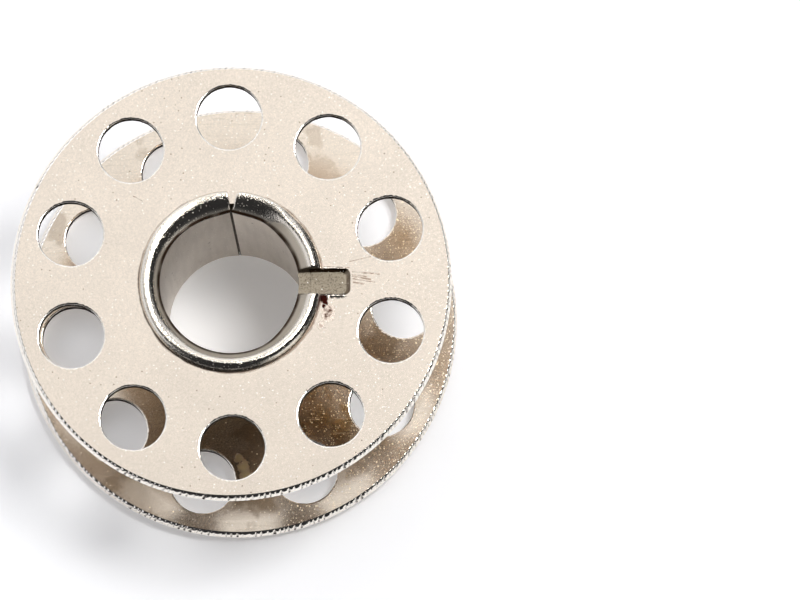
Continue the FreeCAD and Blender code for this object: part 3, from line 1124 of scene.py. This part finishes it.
def add_lamp(scene, name, place, size, radiance, colour):
    """A rectangular soft box that faces the bobbin, out of the camera's sight."""
    light = bpy.data.lights.new(name, "AREA")
    light.shape = "RECTANGLE"
    light.size, light.size_y = size
    light.energy = radiance * math.pi * size[0] * size[1]
    light.color = from_hex(colour)[:3]
    lamp = bpy.data.objects.new(name, light)
    lamp.location = place
    lamp.rotation_mode = "QUATERNION"
    lamp.rotation_quaternion = (LAMP_TARGET - Vector(place)).to_track_quat("-Z", "Y")
    lamp.visible_camera = False
    scene.collection.objects.link(lamp)


def add_camera(scene, settings):
    """The camera, turned and placed from the settings."""
    azimuth, elevation, roll = settings.camera_azimuth, settings.camera_elevation, settings.camera_roll
    back = Vector(
        (
            math.sin(azimuth) * math.cos(elevation),
            -math.cos(azimuth) * math.cos(elevation),
            math.sin(elevation),
        )
    )
    right = Vector((math.cos(azimuth), math.sin(azimuth), 0.0))
    up = back.cross(right)
    turned_right = math.cos(roll) * right + math.sin(roll) * up
    turned_up = -math.sin(roll) * right + math.cos(roll) * up
    data = bpy.data.cameras.new("camera")
    data.sensor_fit = "HORIZONTAL"
    data.sensor_width = 36.0
    data.lens = settings.focal_pixels * data.sensor_width / IMAGE_WIDTH
    data.clip_start, data.clip_end = 0.01, 10.0
    camera = bpy.data.objects.new("camera", data)
    axes = Matrix((turned_right, turned_up, back)).transposed().to_4x4()
    camera.matrix_world = Matrix.Translation(Vector(settings.camera_target) + back * settings.camera_distance) @ axes
    scene.collection.objects.link(camera)
    scene.camera = camera


class BOBBIN_OT_flanges(bpy.types.Operator):
    """Dress both stamped flanges"""

    bl_idname = "bobbin.flanges"
    bl_label = "Flanges"

    def execute(self, context):
        settings = context.scene.bobbin_flange
        # Nickel as it left the barrel: warm and satin, scratched past the notch and rusted at the lip, with brown film
        # and painted shadow along the lip's foot and painted shade in the lip's open split.
        marks = (
            ("6E5B4B", face_scratches, 0.2),
            ("5A4330", lip_stain_and_shadow, 0.2),
            ("2E2218", split_shade, 0.2),
            ("573C31", young_rust, 0.45),
            ("3A1610", old_rust, 0.5),
        )
        face = barrel_tumbled_metal("nickel_barrel_polished", settings.face_colour, 0.15, marks)
        # The same nickel in the gap, browned by oil and by painted shade, with bright flecks where the film is gone,
        # painted light as glints.
        worn = (
            ("7A6040", gap_film_and_shade, 0.12),
            ("C9BCA8", gap_scratches, 0.1),
            ("F4E0BC", gap_flecks_and_glints, 0.4),
            ("9C8A66", bare_patch, 0.28),
        )
        inner = barrel_tumbled_metal("nickel_tarnished_and_shaded_inner", settings.inner_colour, 0.14, worn)
        # Bare steel under the punch: dull grey-brown and pitted.
        notch = barrel_tumbled_metal("steel_struck_notch", settings.notch_colour, 0.45, PITTED)
        # Nickel burnished by wear: bright crests with grime between them.
        grimed = (("3D2C1E", groove_film, 0.2),)
        rim = barrel_tumbled_metal("nickel_knurled_rim", settings.rim_colour, 0.09, grimed)
        # Steel torn by the punch, painted near black partly as shade: a dark thin line, dark at a glancing angle too.
        # The notch's upper wall, in shade, wears it as painted shade.
        wall = barrel_tumbled_metal("steel_torn_and_shaded_wall", settings.torn_and_shaded_wall_colour, 0.4, edge=settings.torn_and_shaded_wall_colour)
        materials = (face, inner, notch, rim, wall)
        build_flange(settings, "upper_flange", settings.upper_turn, True, materials)
        build_flange(settings, "lower_flange", settings.lower_turn, False, materials)
        return {"FINISHED"}


class BOBBIN_OT_core(bpy.types.Operator):
    """Dress the rolled core with its lips, seam and notch"""

    bl_idname = "bobbin.core"
    bl_label = "Core"

    def execute(self, context):
        settings = context.scene.bobbin_core
        nickel = bright_rolled_nickel("nickel_bright_rolled", settings.nickel_colour, 0.09)
        cut = barrel_tumbled_metal("steel_cut_lip", settings.cut_colour, 0.45, PITTED)
        # Nickel dulled by the mandrel: grey and soft, with upright streaks and brown edges at the seam.
        drawn = (("B9AEA2", bore_streaks, 0.0), ("6E6054", bore_dents, 0.1), ("3A2614", seam_film, 0.1))
        bore = barrel_tumbled_metal("nickel_dull_bore", settings.bore_colour, 0.42, drawn)
        build_core(settings, context.scene.bobbin_flange, (nickel, cut, bore))
        return {"FINISHED"}


class BOBBIN_OT_stage(bpy.types.Operator):
    """Set the floor, the light and the camera"""

    bl_idname = "bobbin.stage"
    bl_label = "Stage"

    def execute(self, context):
        settings = context.scene.bobbin_stage
        scene = context.scene
        side = settings.floor_size / 2
        mesh = bpy.data.meshes.new("floor")
        mesh.from_pydata([(-side, -side, 0), (side, -side, 0), (side, side, 0), (-side, side, 0)], [], [(0, 1, 2, 3)])
        mesh.materials.append(white_card("card_matt_white", settings.floor_colour, settings.floor_glow))
        floor = bpy.data.objects.new("floor", mesh)
        scene.collection.objects.link(floor)
        for lamp in LAMPS:
            add_lamp(scene, *lamp)
        world = bpy.data.worlds.new("studio")
        world.use_nodes = True
        background = world.node_tree.nodes["Background"].inputs
        background["Color"].default_value = from_hex(WORLD_COLOUR)
        background["Strength"].default_value = WORLD_STRENGTH
        scene.world = world
        scene.view_settings.view_transform = "Standard"
        add_camera(scene, settings)
        return {"FINISHED"}


class BOBBIN_PT_panel(bpy.types.Panel):
    """Lists the bobbin's pieces and sizes"""

    bl_idname = "BOBBIN_PT_panel"
    bl_label = "Bobbin"
    bl_space_type = "VIEW_3D"
    bl_region_type = "UI"
    bl_category = "Bobbin"

    def draw(self, context):
        layout = self.layout
        groups = (
            (context.scene.bobbin_flange, BOBBIN_OT_flanges),
            (context.scene.bobbin_core, BOBBIN_OT_core),
            (context.scene.bobbin_stage, BOBBIN_OT_stage),
        )
        for settings, operator in groups:
            box = layout.box()
            box.operator(operator.bl_idname)
            for name in settings.__annotations__:
                box.prop(settings, name)


CLASSES = (
    FlangeSettings,
    CoreSettings,
    StageSettings,
    BOBBIN_OT_flanges,
    BOBBIN_OT_core,
    BOBBIN_OT_stage,
    BOBBIN_PT_panel,
)


def register():
    for cls in CLASSES:
        bpy.utils.register_class(cls)
    bpy.types.Scene.bobbin_flange = PointerProperty(type=FlangeSettings)
    bpy.types.Scene.bobbin_core = PointerProperty(type=CoreSettings)
    bpy.types.Scene.bobbin_stage = PointerProperty(type=StageSettings)


def unregister():
    del bpy.types.Scene.bobbin_stage
    del bpy.types.Scene.bobbin_core
    del bpy.types.Scene.bobbin_flange
    for cls in reversed(CLASSES):
        bpy.utils.unregister_class(cls)


def main():
    register()
    bpy.ops.bobbin.flanges()
    bpy.ops.bobbin.core()
    bpy.ops.bobbin.stage()


if __name__ == "__main__":
    main()
